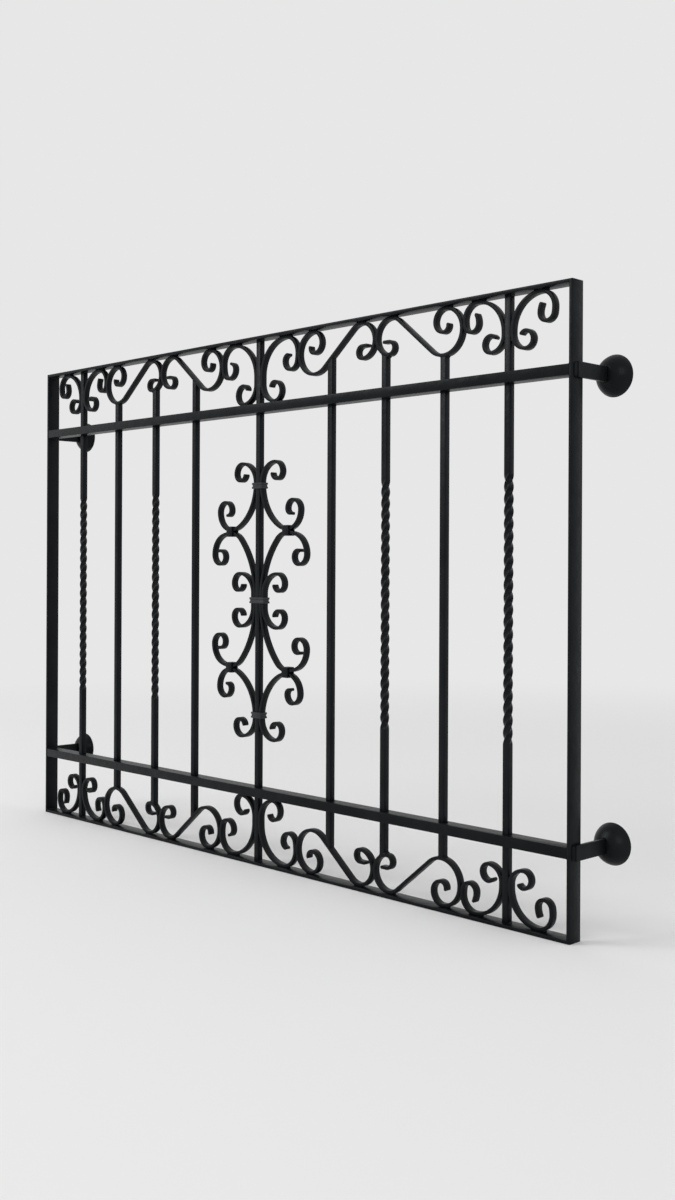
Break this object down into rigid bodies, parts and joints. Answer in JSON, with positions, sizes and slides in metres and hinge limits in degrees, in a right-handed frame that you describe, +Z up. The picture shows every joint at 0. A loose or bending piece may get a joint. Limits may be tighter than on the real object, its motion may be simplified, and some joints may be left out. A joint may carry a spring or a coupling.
{
  "type": "wrought iron window grille",
  "caption": "Wall-hung iron window grille: flat-bar frame, plain and twisted square bars, scroll friezes above and below, a collared scroll ornament and stand-off arms.",
  "frame": {"origin": "middle of the wall feet, on the wall plane that their backs and the cover rims stand on", "axes": "+Z up, +Y into the wall, so the grille's front faces -Y; +X to the right as seen from the front"},
  "size_m": [1.601, 0.115, 1.05],
  "materials": {
    "painted_iron": "satin black paint over forged iron"
  },
  "bodies": {
    "root": {"bar_1": "painted_iron", "bar_2": "painted_iron", "bar_3": "painted_iron", "bar_4": "painted_iron", "bar_5": "painted_iron", "bar_6": "painted_iron", "bar_7": "painted_iron", "bar_8": "painted_iron", "bar_9": "painted_iron", "bottom_cross_rail": "painted_iron", "bottom_left_arm": "painted_iron", "bottom_left_cover": "painted_iron", "bottom_left_end_scroll_inner": "painted_iron", "bottom_left_end_scroll_outer": "painted_iron", "bottom_left_foot": "painted_iron", "bottom_left_middle_scroll": "painted_iron", "bottom_left_s_scroll_inner": "painted_iron", "bottom_left_s_scroll_outer": "painted_iron", "bottom_rail": "painted_iron", "bottom_right_arm": "painted_iron", "bottom_right_cover": "painted_iron", "bottom_right_end_scroll_inner": "painted_iron", "bottom_right_end_scroll_outer": "painted_iron", "bottom_right_foot": "painted_iron", "bottom_right_middle_scroll": "painted_iron", "bottom_right_s_scroll_inner": "painted_iron", "bottom_right_s_scroll_outer": "painted_iron", "left_large_scroll": "painted_iron", "left_small_scroll": "painted_iron", "left_stile": "painted_iron", "lower_collar": "painted_iron", "lower_left_collared_scroll": "painted_iron", "lower_right_collared_scroll": "painted_iron", "middle_collar": "painted_iron", "right_large_scroll": "painted_iron", "right_small_scroll": "painted_iron", "right_stile": "painted_iron", "scroll_clips": "painted_iron", "top_cross_rail": "painted_iron", "top_left_arm": "painted_iron", "top_left_cover": "painted_iron", "top_left_end_scroll_inner": "painted_iron", "top_left_end_scroll_outer": "painted_iron", "top_left_foot": "painted_iron", "top_left_middle_scroll": "painted_iron", "top_left_s_scroll_inner": "painted_iron", "top_left_s_scroll_outer": "painted_iron", "top_rail": "painted_iron", "top_right_arm": "painted_iron", "top_right_cover": "painted_iron", "top_right_end_scroll_inner": "painted_iron", "top_right_end_scroll_outer": "painted_iron", "top_right_foot": "painted_iron", "top_right_middle_scroll": "painted_iron", "top_right_s_scroll_inner": "painted_iron", "top_right_s_scroll_outer": "painted_iron", "upper_collar": "painted_iron", "upper_left_collared_scroll": "painted_iron", "upper_right_collared_scroll": "painted_iron"}
  },
  "joints": []
}
